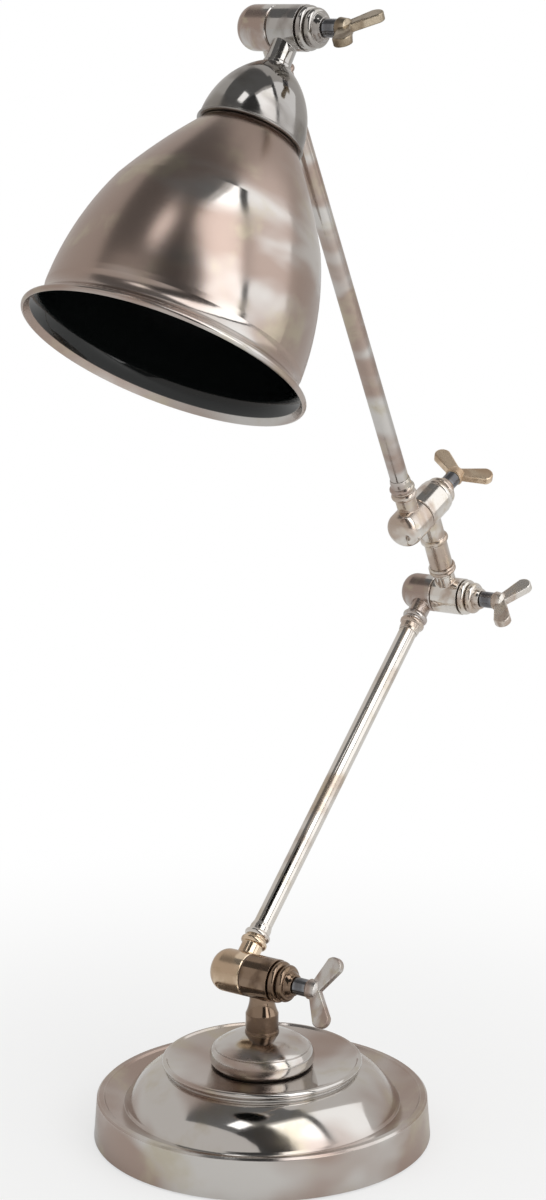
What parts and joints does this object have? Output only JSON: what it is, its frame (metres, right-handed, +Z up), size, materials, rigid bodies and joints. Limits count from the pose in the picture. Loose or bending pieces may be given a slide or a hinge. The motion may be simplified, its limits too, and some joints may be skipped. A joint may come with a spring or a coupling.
{
  "type": "swing-arm table lamp",
  "caption": "Swing-arm table lamp: stepped round base, two tube arms on barrel knuckles clamped by wing screws, and a bell shade under a domed cap.",
  "frame": {"origin": "centre of the felt's underside, where the base stands on the table", "axes": "+Z up; the knuckle axes at the foot and elbow lie along Y, wing screws towards -Y; the lower arm leans towards +X"},
  "size_m": [0.3512, 0.18, 0.5898],
  "materials": {
    "aged_silver": "aged silver plate on brass, satin polished, brown mottling",
    "shade_silver": "aged silver plate outside, gloss black enamel inside",
    "dark_bronze": "brass with a dark brown patina, satin",
    "dark_steel": "blackened steel",
    "washer_fibre": "hard fibre",
    "contact_brass": "plain brass",
    "ring_metal": "gloss black enamel",
    "moulded_black": "moulded, semi-gloss",
    "bush_plastic": "moulded, matte",
    "felt": "pressed wool felt",
    "cast_iron": "rough cast, primed"
  },
  "bodies": {
    "base": {"base_felt": "felt", "base_cover": "aged_silver", "base_weight": "cast_iron", "base_boss": "aged_silver", "stem_column": "dark_bronze", "tie_rod": "dark_steel", "tie_washer": "dark_steel", "tie_nut": "dark_steel", "cable_bush": "bush_plastic", "foot_screw_half": "dark_bronze", "foot_end_cap": "aged_silver", "foot_spring_washer": "dark_steel"},
    "foot_wing": {"foot_stud": "dark_steel", "foot_wing_head": "aged_silver"},
    "lower_arm": {"foot_plain_half": "aged_silver", "foot_friction_washer": "washer_fibre", "foot_collar": "aged_silver", "lower_arm_tube": "aged_silver", "elbow_collar": "aged_silver", "elbow_plain_half": "aged_silver", "elbow_friction_washer": "washer_fibre"},
    "link": {"elbow_screw_half": "aged_silver", "elbow_end_cap": "aged_silver", "elbow_spring_washer": "dark_steel", "swivel_ring": "aged_silver", "swivel_bolt": "dark_steel"},
    "elbow_wing": {"elbow_stud": "dark_steel", "elbow_wing_head": "aged_silver"},
    "wrist": {"wrist_screw_half": "aged_silver", "wrist_end_cap": "aged_silver", "wrist_spring_washer": "dark_steel"},
    "wrist_wing": {"wrist_stud": "dark_steel", "wrist_wing_head": "aged_silver"},
    "upper_arm": {"wrist_plain_half": "aged_silver", "wrist_friction_washer": "washer_fibre", "wrist_collar": "aged_silver", "upper_arm_tube": "aged_silver", "head_collar": "aged_silver", "head_plain_half": "aged_silver", "head_friction_washer": "washer_fibre"},
    "shade": {"head_screw_half": "aged_silver", "head_end_cap": "aged_silver", "head_spring_washer": "dark_steel", "shade_cap": "aged_silver", "bell_shade": "shade_silver", "head_nipple": "dark_steel", "nipple_nut": "dark_steel", "lampholder_body": "moulded_black", "lampholder_shell": "contact_brass", "lampholder_contact": "contact_brass", "shade_ring": "ring_metal"},
    "head_wing": {"head_stud": "dark_steel", "head_wing_head": "aged_silver"}
  },
  "joints": [
    {"name": "foot_tilt", "type": "hinge", "parent": "base", "child": "lower_arm", "pos_m": [0, 0.00775, 0.0865], "axis": [0, 1, 0], "range_deg": [-75, 35]},
    {"name": "elbow_tilt", "type": "hinge", "parent": "lower_arm", "child": "link", "pos_m": [0.19169, 0.00775, 0.26215], "axis": [0, 1, 0], "range_deg": [-60, 75]},
    {"name": "link_swivel", "type": "hinge", "parent": "link", "child": "wrist", "pos_m": [0.1818, 0, 0.28158], "axis": [-0.454, 0, 0.891], "range_deg": [-120, 120]},
    {"name": "wrist_tilt", "type": "hinge", "parent": "wrist", "child": "upper_arm", "pos_m": [0.15666, 0.00054, 0.31389], "axis": [0.8888, -0.0698, 0.4529], "range_deg": [-90, 90]},
    {"name": "head_tilt", "type": "hinge", "parent": "upper_arm", "child": "shade", "pos_m": [0.014, -0.00125, 0.57798], "axis": [-0.0786, -0.9967, -0.0224], "range_deg": [-100, 25]},
    {"name": "foot_wing_turn", "type": "hinge", "parent": "base", "child": "foot_wing", "pos_m": [0, 0.00775, 0.0865], "axis": [0, -1, 0], "range_deg": [-270, 30]},
    {"name": "elbow_wing_turn", "type": "hinge", "parent": "link", "child": "elbow_wing", "pos_m": [0.19169, 0.00775, 0.26215], "axis": [0, -1, 0], "range_deg": [-270, 30]},
    {"name": "wrist_wing_turn", "type": "hinge", "parent": "wrist", "child": "wrist_wing", "pos_m": [0.15666, 0.00054, 0.31389], "axis": [0.8888, -0.0698, 0.4529], "range_deg": [-270, 30]},
    {"name": "head_wing_turn", "type": "hinge", "parent": "shade", "child": "head_wing", "pos_m": [0.014, -0.00125, 0.57798], "axis": [-0.0786, -0.9967, -0.0224], "range_deg": [-270, 30]}
  ]
}
